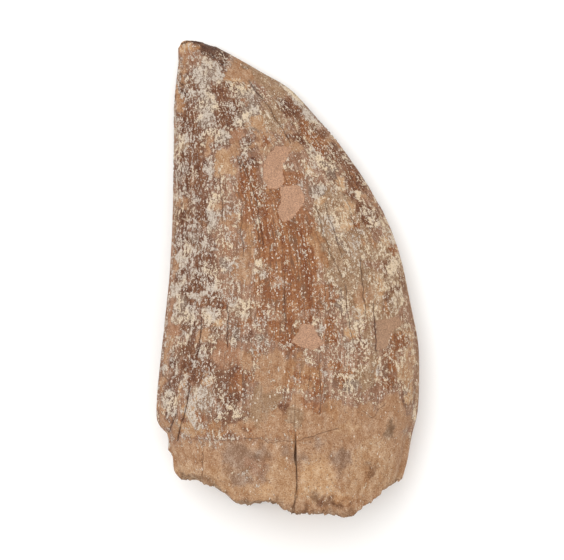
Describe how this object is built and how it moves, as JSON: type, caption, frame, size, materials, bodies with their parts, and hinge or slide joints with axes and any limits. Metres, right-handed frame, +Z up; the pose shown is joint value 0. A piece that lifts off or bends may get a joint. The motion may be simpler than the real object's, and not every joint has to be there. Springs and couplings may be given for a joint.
{
  "type": "fossil tooth",
  "caption": "Fossil tooth of a large meat-eating dinosaur, a flattened blade curving to a worn tip, with a broken and split root, lying on its side.",
  "frame": {"origin": "middle of the plan outline, at the height of the surface that the tooth lies on", "axes": "+Y from the broken root to the tip, +X towards the front cutting edge, +Z up out of the cheek side; the tooth lies on its tongue side"},
  "size_m": [0.0554, 0.1002, 0.024],
  "materials": {
    "stained_enamel": "dull mineralised enamel and root, mottled brown, cream and pinkish tan"
  },
  "bodies": {
    "root": {"tooth": "stained_enamel"}
  },
  "joints": []
}
